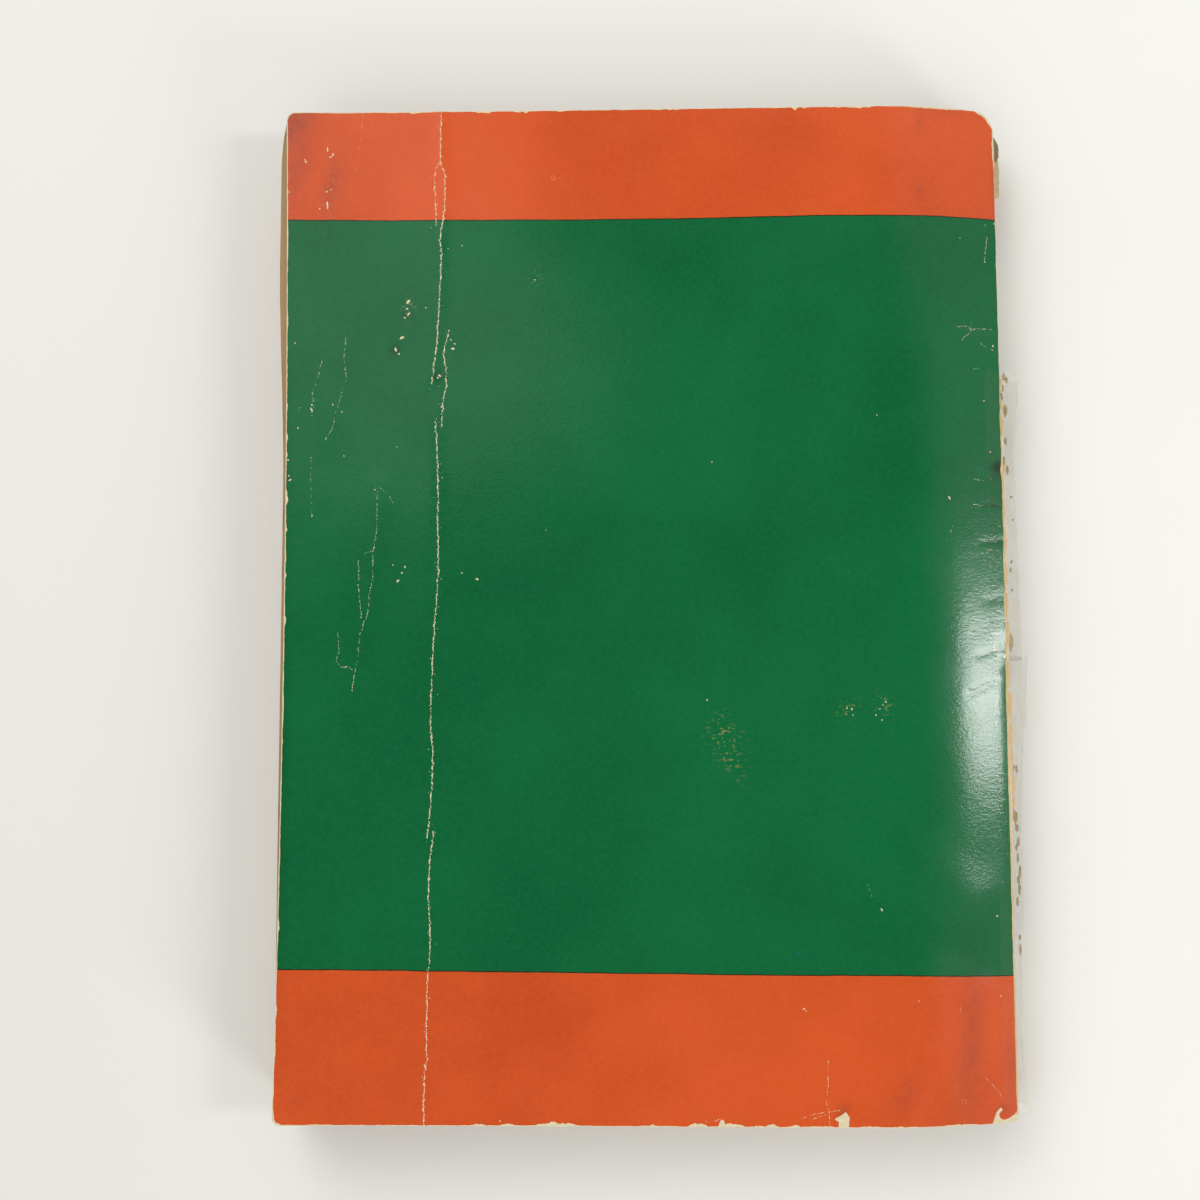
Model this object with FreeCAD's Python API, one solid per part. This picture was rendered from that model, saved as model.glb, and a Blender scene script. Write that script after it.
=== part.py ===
import FreeCAD, Part
import math
import os

# A worn paperback book that lies face down: the front cover is underneath, the back cover on
# top, the spine at +X and the head of the page at +Y. The origin is on the table, under the
# middle of the front cover.

os.makedirs("parts", exist_ok=True)
V = FreeCAD.Vector

# Driving dimensions of the covers, in millimetres

cover_width = 127.6  # spine edge to fore edge
cover_height = 178.0  # head to tail
card_thick = 0.35
book_thick = 12.6  # table to the flat of the back cover
roll_width = 23.5  # the back cover rolls off towards the spine
roll_drop = 3.8
lift_width = 30.0  # and lifts a little towards the fore edge
lift_rise = 0.7
heel_width = 10.0  # the front cover rises from the table beside the spine
heel_rise = 0.9
fore_hollow = 0.8  # the fore edge is worn in at mid height
head_spine_round = 4.0
tail_spine_round = 1.2
head_fore_round = 1.6
tail_fore_round = 1.5

# Driving dimensions of the leaves and their spine

leaf_gap = 0.3  # between a cover and the leaves
leaf_margin = 0.4  # leaves inside the covers at head and tail
leaf_setback = 1.3  # spine edge of the leaves inside the covers' spine edge
leaf_bow = 0.9  # rounding of the spine edge of the leaves
leaf_round = 0.8
tail_stand = -0.1  # how far the leaves stand out of the fore edge at the tail
head_stand = 1.0  # and near the head, where they fan out
fan_start = 26.0  # distance from the head at which the fan is widest
fan_length = 42.0
glue_thick = 0.4
cling_gap = 0.05  # between the glue and the card strip that has come off it

# Driving dimensions of the spine strip: how far it bows out, at distances from the tail

strip_head_margin = 2.5
strip_tail_margin = 1.2
strip_bows = ((3.0, 0.9), (60.0, 1.7), (124.0, 1.9), (142.0, None))

# Driving dimensions of the two lengths of tape: how far each bulges past the covers' spine
# edges, at distances from the tail

tape_thick = 0.1
tape_gap = 0.05
tape_on_back = 3.0
tape_on_front = 3.0
upper_bulges = ((79.0, 3.6), (93.0, 3.5), (116.0, 3.05), (131.7, 4.7))
lower_bulges = (
    (1.2, 2.75),
    (10.0, 1.85),
    (29.0, 2.0),
    (37.0, 2.7),
    (48.0, 2.5),
    (59.0, 3.05),
    (71.0, 4.1),
    (82.0, 4.5),
)
nose_steps = 8  # points round the bulge of a tape

# Places worked out from them

fore_x = -cover_width / 2
spine_x = cover_width / 2
head_y = cover_height / 2
tail_y = -cover_height / 2
roll_x = spine_x - roll_width
roll_radius = (roll_width**2 + roll_drop**2) / (2 * roll_drop)
lift_x = fore_x + lift_width
lift_radius = (lift_width**2 + lift_rise**2) / (2 * lift_rise)
heel_x = spine_x - heel_width
heel_radius = (heel_width**2 + heel_rise**2) / (2 * heel_rise)
leaf_depth = card_thick + leaf_gap


def roof(x, depth):
    """Height of the line that lies depth under the back cover's outer face."""
    if x < lift_x:
        radius = lift_radius + depth
        return book_thick + lift_radius - math.sqrt(radius**2 - (x - lift_x) ** 2)
    if x > roll_x:
        radius = roll_radius - depth
        return book_thick - roll_radius + math.sqrt(radius**2 - (x - roll_x) ** 2)
    return book_thick - depth


def sole(x, height):
    """Height of the line that lies height above the front cover's outer face."""
    if x > heel_x:
        radius = heel_radius - height
        return heel_radius - math.sqrt(radius**2 - (x - heel_x) ** 2)
    return height


def point(x, z, y=0.0):
    return V(x, y, z)


def arc(start, middle, end):
    return Part.Arc(start, middle, end).toShape()


def segment(start, end):
    return Part.LineSegment(start, end).toShape()


def stretches(line, offset, stations, y=0.0):
    """Edges of roof or sole from station to station: straight on the flat, arcs elsewhere."""
    edges = []
    for x_from, x_to in zip(stations, stations[1:]):
        x_middle = (x_from + x_to) / 2
        start, middle, end = [point(x, line(x, offset), y) for x in (x_from, x_middle, x_to)]
        flat = abs(middle.z - (start.z + end.z) / 2) < 1e-6
        edges.append(segment(start, end) if flat else arc(start, middle, end))
    return edges


def outline(fore_edges, spine_end, half_height, rounds):
    """A tall prism with a plan outline, its corners rounded, that the sheets are cut with.

    fore_edges run from tail to head along the fore edge. rounds are the radii at the head and
    tail of the spine edge, then at the tail and head of the fore edge."""
    below, above = -book_thick, 3 * book_thick
    tail = fore_edges[0].firstVertex(True).Point
    head = fore_edges[-1].lastVertex(True).Point
    corners = [head, V(spine_end, half_height, 0), V(spine_end, -half_height, 0), tail]
    edges = fore_edges + [segment(a, b) for a, b in zip(corners, corners[1:])]
    face = Part.Face(Part.Wire(edges))
    face.translate(V(0, 0, below))
    prism = face.extrude(V(0, 0, above - below))
    for corner, radius in zip([corners[1], corners[2], tail, head], rounds):
        middle = V(corner.x, corner.y, (below + above) / 2)
        edge = min(prism.Edges, key=lambda e: (e.CenterOfMass - middle).Length)
        prism = prism.makeFillet(radius, [edge])
    return prism


def along_book(edges, half_height):
    """The section inside the edges, carried from tail to head."""
    face = Part.Face(Part.Wire(Part.sortEdges(edges)[0]))
    face.translate(V(0, -half_height, 0))
    return face.extrude(V(0, 2 * half_height, 0))


def worn_fore_edge():
    start, end = V(fore_x, tail_y, 0), V(fore_x, head_y, 0)
    return [arc(start, V(fore_x + fore_hollow, 0, 0), end)]


def fanned_fore_edge(half_height):
    """Straight at the tail, then two arcs out to where the leaves fan out near the head."""
    tail_x, head_x = fore_x - tail_stand, fore_x - head_stand
    fan_to = half_height - fan_start
    fan_from = fan_to - fan_length
    middle = V((tail_x + head_x) / 2, (fan_from + fan_to) / 2, 0)
    radius = ((head_x - tail_x) ** 2 + fan_length**2) / (4 * (tail_x - head_x))
    sagitta = radius - math.sqrt(radius**2 - (fan_length / 4) ** 2)
    near, far = V(tail_x, fan_from, 0), V(head_x, fan_to, 0)
    near_middle = V(tail_x - sagitta, fan_from + fan_length / 4, 0)
    far_middle = V(head_x + sagitta, fan_to - fan_length / 4, 0)
    return [
        segment(V(tail_x, -half_height, 0), near),
        arc(near, near_middle, middle),
        arc(middle, far_middle, far),
        segment(far, V(head_x, half_height, 0)),
    ]


cover_rounds = (head_spine_round, tail_spine_round, tail_fore_round, head_fore_round)


def cover(line, stations):
    """A card whose outer face follows roof or sole."""
    outer = stretches(line, 0.0, stations)
    inner = stretches(line, card_thick, stations)
    ends = [
        segment(point(x, line(x, 0.0)), point(x, line(x, card_thick)))
        for x in (stations[0], stations[-1])
    ]
    slab = along_book(outer + inner + ends, cover_height / 2)
    return slab.common(outline(worn_fore_edge(), spine_x, cover_height / 2, cover_rounds))


def back_cover():
    return cover(roof, (fore_x, lift_x, roll_x, spine_x))


def front_cover():
    return cover(sole, (fore_x, heel_x, spine_x))


# The rounded spine edge of the leaves is an arc between the insides of the two covers

leaf_spine_x = spine_x - leaf_setback
leaf_top = roof(leaf_spine_x, leaf_depth)
leaf_bottom = sole(leaf_spine_x, leaf_depth)
leaf_middle = (leaf_top + leaf_bottom) / 2
leaf_half = (leaf_top - leaf_bottom) / 2
leaf_radius = (leaf_half**2 + leaf_bow**2) / (2 * leaf_bow)
leaf_centre_x = leaf_spine_x + leaf_bow - leaf_radius


def page_block():
    """All the leaves as one solid, fanned out of the fore edge near the head."""
    block_fore = fore_x - head_stand - leaf_margin
    half_height = cover_height / 2 - leaf_margin
    top = stretches(roof, leaf_depth, (block_fore, lift_x, roll_x, leaf_spine_x))
    bottom = stretches(sole, leaf_depth, (block_fore, heel_x, leaf_spine_x))
    fore = segment(
        point(block_fore, roof(block_fore, leaf_depth)),
        point(block_fore, sole(block_fore, leaf_depth)),
    )
    spine = arc(
        point(leaf_spine_x, leaf_top),
        point(leaf_spine_x + leaf_bow, leaf_middle),
        point(leaf_spine_x, leaf_bottom),
    )
    slab = along_book(top + bottom + [fore, spine], half_height)
    past_spine = spine_x + leaf_bow
    rounds = (leaf_round, leaf_round, leaf_round, leaf_round)
    return slab.common(outline(fanned_fore_edge(half_height), past_spine, half_height, rounds))


def spine_glue():
    """The layer of old glue on the spine edge of the leaves, clear of both covers."""
    half_height = cover_height / 2 - leaf_margin
    angle = math.asin((leaf_half - leaf_gap) / leaf_radius)

    def on_circle(radius, turn):
        return point(leaf_centre_x + radius * math.cos(turn), leaf_middle + radius * math.sin(turn))

    inside, outside = [
        [on_circle(radius, turn) for turn in (-angle, 0.0, angle)]
        for radius in (leaf_radius, leaf_radius + glue_thick)
    ]
    ends = [segment(inside[0], outside[0]), segment(inside[2], outside[2])]
    return along_book([arc(*inside), arc(*outside)] + ends, half_height)


# The card strip over the spine ends just clear of the covers, so that they can open past it

strip_top = roof(spine_x, card_thick) - leaf_gap
strip_bottom = sole(spine_x, card_thick) + leaf_gap
strip_middle = (strip_top + strip_bottom) / 2
glue_radius = leaf_radius + glue_thick + cling_gap
glue_reach = max(abs(strip_top - leaf_middle), abs(strip_bottom - leaf_middle))
strip_x = leaf_centre_x + math.sqrt(glue_radius**2 - glue_reach**2) + cling_gap
flat_bow = leaf_centre_x + glue_radius + cling_gap - strip_x


def strip_section(y, bow):
    bow = flat_bow if bow is None else bow
    sides = []
    for x in (strip_x, strip_x + card_thick):
        top, bottom = point(x, strip_top, y), point(x, strip_bottom, y)
        sides.append((top, point(x + bow, strip_middle, y), bottom))
    inner, outer = sides
    edges = [arc(*inner), segment(inner[2], outer[2]), arc(*reversed(outer)), segment(outer[0], inner[0])]
    return Part.Wire(edges)


def spine_cover():
    """The worn strip of the cover over the spine. It has come loose where the tapes hold it."""
    stations = [(tail_y + strip_tail_margin, strip_bows[0][1])]
    stations += [(tail_y + distance, bow) for distance, bow in strip_bows]
    stations.append((head_y - strip_head_margin, None))
    return Part.makeLoft([strip_section(y, bow) for y, bow in stations], True, True)


def tape_path(y, bulge, offset):
    """Edges of one face of a tape: on the back cover, round the spine, under the front cover."""
    on_back = stretches(roof, -offset, (spine_x - tape_on_back, spine_x), y)
    on_front = stretches(sole, -offset, (spine_x, spine_x - tape_on_front), y)
    top, bottom = roof(spine_x, -offset), sole(spine_x, -offset)
    middle, half = (top + bottom) / 2, (top - bottom) / 2
    turns = [math.pi / 2 - math.pi * step / nose_steps for step in range(nose_steps + 1)]
    nose = Part.BSplineCurve()
    nose.interpolate(
        [
            point(spine_x + (bulge + offset) * math.cos(turn), middle + half * math.sin(turn), y)
            for turn in turns
        ]
    )
    return on_back + [nose.toShape()] + on_front


def tape_section(y, bulge, offset):
    inner = tape_path(y, bulge, offset)
    outer = tape_path(y, bulge, offset + tape_thick)
    start = segment(inner[0].firstVertex(True).Point, outer[0].firstVertex(True).Point)
    end = segment(inner[-1].lastVertex(True).Point, outer[-1].lastVertex(True).Point)
    return Part.Wire(Part.sortEdges(inner + [end] + outer + [start])[0])


def tape(bulges, layer):
    """A length of clear tape. Layer 0 lies on the covers and layer 1 on another tape."""
    offset = tape_gap + layer * (tape_thick + tape_gap)
    sections = [tape_section(tail_y + distance, bulge, offset) for distance, bulge in bulges]
    return Part.makeLoft(sections, True, True)


pieces = {
    "page_block": page_block(),
    "spine_glue": spine_glue(),
    "spine_cover": spine_cover(),
    "back_cover": back_cover(),
    "front_cover": front_cover(),
    "tape_upper": tape(upper_bulges, 0),
    "tape_lower": tape(lower_bulges, 1),
}
for name, shape in pieces.items():
    if shape.ShapeType != "Solid" and len(shape.Solids) == 1:
        shape = shape.Solids[0]
    box = shape.BoundBox
    print(
        f"{name}: {shape.ShapeType} valid {shape.isValid()} volume {shape.Volume:.1f} mm3,",
        f"x {box.XMin:.2f} to {box.XMax:.2f}, y {box.YMin:.2f} to {box.YMax:.2f},",
        f"z {box.ZMin:.2f} to {box.ZMax:.2f}",
    )
    shape.exportStep(f"parts/{name}.step")
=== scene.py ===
import math
import random
from collections import namedtuple

import bpy
import numpy as np
from mathutils import Euler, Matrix, Vector, kdtree, noise
from mathutils.geometry import delaunay_2d_cdt


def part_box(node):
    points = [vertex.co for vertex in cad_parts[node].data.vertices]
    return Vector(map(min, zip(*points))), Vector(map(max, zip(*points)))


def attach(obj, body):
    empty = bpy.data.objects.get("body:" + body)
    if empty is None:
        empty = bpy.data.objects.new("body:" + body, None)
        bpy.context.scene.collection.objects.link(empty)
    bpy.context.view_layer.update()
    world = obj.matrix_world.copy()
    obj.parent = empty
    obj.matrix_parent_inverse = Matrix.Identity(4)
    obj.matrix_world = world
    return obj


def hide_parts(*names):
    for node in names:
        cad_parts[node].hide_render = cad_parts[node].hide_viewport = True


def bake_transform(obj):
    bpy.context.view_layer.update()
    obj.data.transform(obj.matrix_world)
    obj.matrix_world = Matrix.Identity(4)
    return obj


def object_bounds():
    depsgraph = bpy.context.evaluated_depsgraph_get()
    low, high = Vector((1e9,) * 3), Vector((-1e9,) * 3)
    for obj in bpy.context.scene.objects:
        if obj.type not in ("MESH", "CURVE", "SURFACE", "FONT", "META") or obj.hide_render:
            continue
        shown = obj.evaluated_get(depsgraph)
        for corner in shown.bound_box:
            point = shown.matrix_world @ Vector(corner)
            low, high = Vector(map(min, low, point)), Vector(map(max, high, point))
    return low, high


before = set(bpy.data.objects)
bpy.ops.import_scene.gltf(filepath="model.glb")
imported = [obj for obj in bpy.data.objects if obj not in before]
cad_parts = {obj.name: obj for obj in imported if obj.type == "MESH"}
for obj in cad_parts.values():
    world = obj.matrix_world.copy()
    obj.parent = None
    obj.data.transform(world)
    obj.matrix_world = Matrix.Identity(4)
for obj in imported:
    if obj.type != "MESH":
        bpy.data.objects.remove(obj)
cad_low, cad_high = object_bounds()

# Everything below is worked out in millimetres, and MM turns it into metres.

MM = 0.001

# Sizes of the book, as the solids have them

spine_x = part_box("back_cover")[1].x / MM
fore_x = -spine_x
head_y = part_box("back_cover")[1].y / MM
tail_y = -head_y
strip_low, strip_high = [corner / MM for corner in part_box("spine_cover")]
glue_low, glue_high = [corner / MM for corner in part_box("spine_glue")]
card_thick = 0.35
book_thick = 12.6
roll_width = 23.5
roll_drop = 3.8
lift_width = 30.0
lift_rise = 0.7
heel_width = 10.0
heel_rise = 0.9
fore_hollow = 0.8
head_spine_round = 4.0
tail_spine_round = 1.2
head_fore_round = 1.6
tail_fore_round = 1.5
leaf_gap = 0.3
leaf_margin = 0.4
leaf_setback = 1.3
leaf_bow = 0.9
tail_stand = -0.1
head_stand = 1.0
fan_start = 26.0
fan_length = 42.0
glue_thick = 0.4

roll_x = spine_x - roll_width
roll_radius = (roll_width**2 + roll_drop**2) / (2 * roll_drop)
lift_x = fore_x + lift_width
lift_radius = (lift_width**2 + lift_rise**2) / (2 * lift_rise)
heel_x = spine_x - heel_width
heel_radius = (heel_width**2 + heel_rise**2) / (2 * heel_rise)
leaf_depth = card_thick + leaf_gap


def roof(x, depth=0.0):
    """Height of the line that lies depth under the back cover's outer face, as in the solids."""
    x = np.asarray(x, float)
    fore = book_thick + lift_radius - np.sqrt((lift_radius + depth) ** 2 - (x - lift_x) ** 2)
    reach = np.clip(x - roll_x, 0, roll_radius / 2)
    spine = book_thick - roll_radius + np.sqrt((roll_radius - depth) ** 2 - reach**2)
    return np.where(x < lift_x, fore, np.where(x > roll_x, spine, book_thick - depth))


def sole(x, height=0.0):
    """Height of the line that lies height above the front cover's outer face."""
    x = np.asarray(x, float)
    reach = np.clip(x - heel_x, 0, heel_radius / 2)
    heel = heel_radius - np.sqrt((heel_radius - height) ** 2 - reach**2)
    return np.where(x > heel_x, heel, height)


# The camera, fitted to the outline of the cover in the photograph. Pixels below are those of the
# 1200 by 1200 frame.

frame_pixels = 1200
focal_pixels = 1294.0
camera_place = Vector((-1.88, -16.16, 237.91))
camera_turn = Euler((math.radians(4.244), math.radians(1.462), math.radians(-0.19)))
sensor_mm = 36.0
pixel_mm = 1 / 5.74  # size of a pixel on the cover


def ray(u, v):
    """Direction in which the camera sees a pixel of the photograph."""
    half = frame_pixels / 2
    aim = Vector(((u - half) / focal_pixels, (half - v) / focal_pixels, -1.0))
    aim.rotate(camera_turn)
    return aim


def on_cover(u, v):
    """The place on the back cover, in plan, that shows at a pixel."""
    aim = ray(u, v)
    z = book_thick
    for _ in range(6):
        place = camera_place + aim * ((z - camera_place.z) / aim.z)
        z = float(roof(place.x))
    return place.x, place.y


def on_cover_all(pixels):
    return [on_cover(u, v) for u, v in pixels]


def waver(a, b, seed):
    """Smooth noise from -1 to 1."""
    return noise.noise(Vector((a, b, 7.31 * seed)))


# Meshes


def new_piece(name, points, faces, kinds=None, materials=(), smooth_angle=None):
    """A mesh object from points in millimetres. kinds gives each face its material."""
    mesh = bpy.data.meshes.new(name)
    mesh.from_pydata([tuple(c * MM for c in p) for p in points], [], faces)
    for made in materials:
        mesh.materials.append(made)
    if kinds is not None:
        mesh.polygons.foreach_set("material_index", kinds)
    mesh.validate()
    mesh.update()
    if smooth_angle is not None:
        mesh.shade_smooth()
        mesh.set_sharp_from_angle(angle=math.radians(smooth_angle))
    piece = bpy.data.objects.new(name, mesh)
    bpy.context.scene.collection.objects.link(piece)
    return piece


def mark_points(piece, name, values):
    """A number for each vertex, which a material can read."""
    attribute = piece.data.attributes.new(name, "FLOAT", "POINT")
    attribute.data.foreach_set("value", np.asarray(values, np.float32))


def inside(points, loop):
    """Which points lie inside a closed loop."""
    loop = np.asarray(loop, float)
    low, high = loop.min(0), loop.max(0)
    near = np.flatnonzero(np.all((points >= low) & (points <= high), axis=1))
    found = np.zeros(len(points), bool)
    if not len(near):
        return found
    x, y = points[near, 0], points[near, 1]
    odd = np.zeros(len(near), bool)
    for (x0, y0), (x1, y1) in zip(loop, np.roll(loop, -1, axis=0)):
        if y0 != y1:
            crosses = (y0 > y) != (y1 > y)
            odd ^= crosses & (x < x0 + (y - y0) * (x1 - x0) / (y1 - y0))
    found[near] = odd
    return found


def scattered(low, high, spacing, chance):
    """Points in staggered rows over a rectangle, each moved a little, with their spacing."""
    points = []
    for row in range(int((high[1] - low[1]) / spacing) + 1):
        for column in range(int((high[0] - low[0]) / spacing) + 1):
            x = low[0] + (column + 0.5 * (row % 2) + chance.uniform(-0.2, 0.2)) * spacing
            y = low[1] + (row + chance.uniform(-0.2, 0.2)) * spacing
            points.append((x, y, spacing))
    return points


def triangles(outline, loops, spacing, seed, fine_from=None, fine_spacing=0.55):
    """Triangles over the inside of outline, with each loop's line among their edges.

    Past fine_from in x the triangles are of fine_spacing."""
    points, edges = [], []
    for loop in [outline] + loops:
        first = len(points)
        points += [Vector(p) for p in loop]
        edges += [(first + i, first + (i + 1) % len(loop)) for i in range(len(loop))]
    tree = kdtree.KDTree(len(points))
    for index, p in enumerate(points):
        tree.insert((p.x, p.y, 0), index)
    tree.balance()
    chance = random.Random(seed)
    low, high = np.min(outline, axis=0), np.max(outline, axis=0)
    split = high[0] if fine_from is None else fine_from
    loose = scattered(low, (split, high[1]), spacing, chance)
    if fine_from is not None:
        loose += scattered((split, low[1]), high, fine_spacing, chance)
    loose = np.array([(x, y) for x, y, size in loose if tree.find((x, y, 0))[2] > 0.5 * size])
    points += [Vector(p) for p in loose[inside(loose, outline)]]
    flat, _, faces, *_ = delaunay_2d_cdt(points, edges, [], 0, 1e-5, False)
    flat = np.array([tuple(p) for p in flat])
    faces = np.array(faces)
    faces = faces[inside(flat[faces].mean(axis=1), outline)]
    used, faces = np.unique(faces, return_inverse=True)
    return flat[used], faces.reshape(-1, 3)


def ordered_border(faces):
    """The vertices round a set of triangles, in order."""
    pairs = np.concatenate([faces[:, (0, 1)], faces[:, (1, 2)], faces[:, (2, 0)]])
    edges = {tuple(pair) for pair in pairs.tolist()}
    following = {a: b for a, b in edges if (b, a) not in edges}
    ring = [min(following)]
    while following[ring[-1]] != ring[0]:
        ring.append(following[ring[-1]])
    return ring


def sheet_faces(rows, columns):
    """Faces of a closed thin sheet: two grids of points one after the other, and its four sides."""
    stride = columns + 1
    shift = (rows + 1) * stride
    faces = []
    for row in range(rows):
        for column in range(columns):
            a = row * stride + column
            quad = (a, a + 1, a + stride + 1, a + stride)
            faces.append(quad)
            faces.append(tuple(i + shift for i in quad[::-1]))
    ring = list(range(columns)) + [row * stride + columns for row in range(rows)]
    ring += [rows * stride + column for column in range(columns, 0, -1)]
    ring += [row * stride for row in range(rows, 0, -1)]
    faces += [(b, a, a + shift, b + shift) for a, b in zip(ring, ring[1:] + ring[:1])]
    return faces


def new_sheet(name, rows, columns, place, look):
    """A closed thin sheet: place gives the point of a face, row and column."""
    points = [
        place(face, row, column)
        for face in (0, 1)
        for row in range(rows + 1)
        for column in range(columns + 1)
    ]
    return new_piece(name, points, sheet_faces(rows, columns), materials=[look], smooth_angle=60)


# Outlines in plan


def arc_points(centre, radius, start, end, step):
    count = max(3, int(abs(math.radians(end - start)) * radius / step))
    turns = [math.radians(start + (end - start) * i / count) for i in range(count)]
    return [(centre[0] + radius * math.cos(t), centre[1] + radius * math.sin(t)) for t in turns]


def line_points(start, end, step):
    count = max(1, int(math.dist(start, end) / step))
    return [
        (start[0] + (end[0] - start[0]) * i / count, start[1] + (end[1] - start[1]) * i / count)
        for i in range(count)
    ]


def path_points(path, step):
    points = []
    for a, b in zip(path, path[1:]):
        points += line_points(a, b, step)
    return points + [path[-1]]


def cover_outline(step):
    """Points round a cover, counter-clockwise from the tail's fore corner."""
    corners = [
        (fore_x, tail_y, tail_fore_round, 180),
        (spine_x, tail_y, tail_spine_round, 270),
        (spine_x, head_y, head_spine_round, 0),
        (fore_x, head_y, head_fore_round, 90),
    ]
    arcs = []
    for x, y, radius, start in corners:
        centre = (x - math.copysign(radius, x), y - math.copysign(radius, y))
        arcs.append(arc_points(centre, radius, start, start + 90, step))
    points = []
    for arc, following in zip(arcs, arcs[1:] + arcs[:1]):
        points += arc + line_points(arc[-1], following[0], step)[1:]
    worn = []
    for x, y in points:
        share = min(1.0, max(0.0, x / fore_x)) ** 8
        worn.append((x + fore_hollow * (1 - (y / head_y) ** 2) * share, y))
    return worn


def outward(loop):
    """Outward direction at each point of a counter-clockwise loop."""
    loop = np.asarray(loop, float)
    along = np.roll(loop, -1, axis=0) - np.roll(loop, 1, axis=0)
    along /= np.linalg.norm(along, axis=1, keepdims=True)
    return np.stack([along[:, 1], -along[:, 0]], axis=1)


def shrunk(loop, inset):
    return np.asarray(loop) - outward(loop) * np.asarray(inset)[:, None]


# Marks on the back cover, read from the photograph, in its pixels

head_band_edge = [
    (275, 219.4), (430, 220.3), (560, 219.4), (700, 217.8), (815, 214.9), (900, 215.0), (980, 218.4),
    (1015, 222.5),
]
tail_band_edge = [
    (262, 970.0), (430, 971.3), (560, 973.0), (700, 974.7), (780, 975.9), (900, 975.9), (1035, 975.2),
]
main_creases = [
    [(441.7, 111), (441, 132), (440.6, 162), (445, 175), (445, 209), (443, 221), (440, 241), (442, 254),
     (440.6, 281), (439.4, 304), (438, 330), (436, 353), (432, 384)],
    [(440.6, 162), (436.6, 168), (434, 180), (436, 201), (436, 226)],
    [(449, 333), (443.7, 351), (446, 370), (446.3, 387), (443, 404), (441.7, 427)],
    [(436, 422), (437, 442), (438.3, 482), (438, 528), (438.6, 566), (437, 598), (434.6, 626),
     (432.8, 661), (431.4, 695), (430.8, 724), (432.8, 750), (432.8, 773), (430.8, 804), (427.4, 838)],
    [(434, 831), (429.7, 860), (428.5, 894), (430.3, 928), (430.3, 962), (428, 971), (427.4, 1003),
     (426.5, 1037), (427, 1060), (424.5, 1080), (423.7, 1100), (424.2, 1127)],
]
fine_creases = [
    [(346, 337), (344, 358), (346.7, 378), (341, 396), (336, 413), (332, 430), (326, 440)],
    [(322, 361), (318, 378), (312.6, 393), (314.6, 406), (311, 416)],
    [(378, 491), (377, 505), (377, 529), (373, 552), (373, 575), (369, 598), (368, 613), (363, 625),
     (359, 641), (357.6, 661), (355, 672), (352, 691)],
    [(358.5, 560), (358.5, 583), (361.4, 618)],
    [(363, 554), (368, 552), (373, 551)],
    [(337.5, 632), (339, 652), (336, 661), (341, 667), (349, 667), (356, 671)],
    [(297, 412), (302, 406)],
    [(956, 327), (967, 326), (971, 330), (979, 329), (992, 330)],
    [(971, 322), (971, 331), (962, 340)],
    [(980, 343), (987, 348), (993, 351)],
    [(973, 370), (980, 369), (986, 370)],
    [(974, 479), (983, 481), (992, 479)],
    [(972, 504), (980, 505), (984, 506)],
    [(977, 556), (985, 552), (992, 549)],
    [(985, 223), (986, 232)],
    [(987, 237), (985, 252), (984, 263)],
    [(828.5, 1059), (828, 1085), (825.7, 1100), (829, 1111), (829.5, 1127)],
    [(800.8, 1118.6), (813.8, 1114.3), (829, 1112), (846, 1109.3)],
    [(813.8, 1119.3), (825.7, 1114.3)],
    [(985, 1077), (992, 1084), (1000, 1093), (1003, 1104)],
    [(706, 1121.2), (716, 1121.4), (720.5, 1118), (722, 1126)],
]
faint_creases = [
    [(363, 114), (362, 135), (357, 165), (356, 178)],
    [(311, 457), (311, 489), (312, 516)],
    [(376, 487), (370, 492)],
    [(379, 487), (388, 494), (393, 503)],
    [(946, 544), (953, 526)],
    [(970, 690), (984, 685), (996, 679)],
    [(868, 884), (876, 905)],
    [(960, 1003), (962, 1020), (960, 1031)],
]
specks = [
    (402, 338, 4.5), (396, 350, 5), (399, 354, 3), (453, 349, 4), (455, 344, 2.5), (440, 376, 4),
    (438, 378, 3), (408, 302, 5), (407, 309, 3), (409, 314, 4), (405, 318, 2.5), (535, 280, 2),
    (405, 567, 2.5), (402, 573, 2.5), (398, 581, 3.5), (477, 579, 3.5), (393, 565, 1.8), (546, 530, 1.3),
    (306, 162, 3), (305, 160, 2), (333, 155, 3.5), (331, 157, 2.5), (331, 190, 2), (327, 192, 2.5),
    (289, 192, 2), (320, 209, 2), (295, 343, 2), (462, 573, 2), (462, 246, 1.8), (449, 331, 2),
    (451, 340, 2), (426, 308, 2), (712, 462, 1.8), (877, 415, 1.6), (994, 224, 2.5), (985, 262, 2),
    (993, 346, 2.5), (984, 401, 2), (990, 452, 2.2), (312, 405, 2), (342, 412, 2), (333, 405, 2),
    (344, 456, 1.8), (397, 447, 1.4), (298, 428, 2), (288, 460, 2.5), (290, 480, 3), (289, 476, 2),
    (312, 516, 2), (375, 490, 2), (500, 1121, 2), (882, 910, 3), (997, 916, 2.5), (1001, 996, 1.8),
    (707, 700, 2.2), (852, 709, 2.5), (847, 708, 2), (853, 715, 2), (886, 702, 2.5), (883, 705, 2),
    (880, 709, 1.8), (876, 715, 2), (882, 720, 1.8), (919, 1001, 1.6), (804, 1009, 2.5),
    (806, 1011, 1.5), (1003, 1121, 2), (960, 238, 1.3),
]
dashes = [
    ((327.3, 146), (328, 153), 2.2), ((327.3, 201), (328, 211), 2.2), ((948.5, 496), (950.5, 500), 2.0),
    ((995, 648), (996, 649), 3.0), ((404, 335), (399, 341), 2.0), ((310, 407), (313, 412), 1.6),
]
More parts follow.
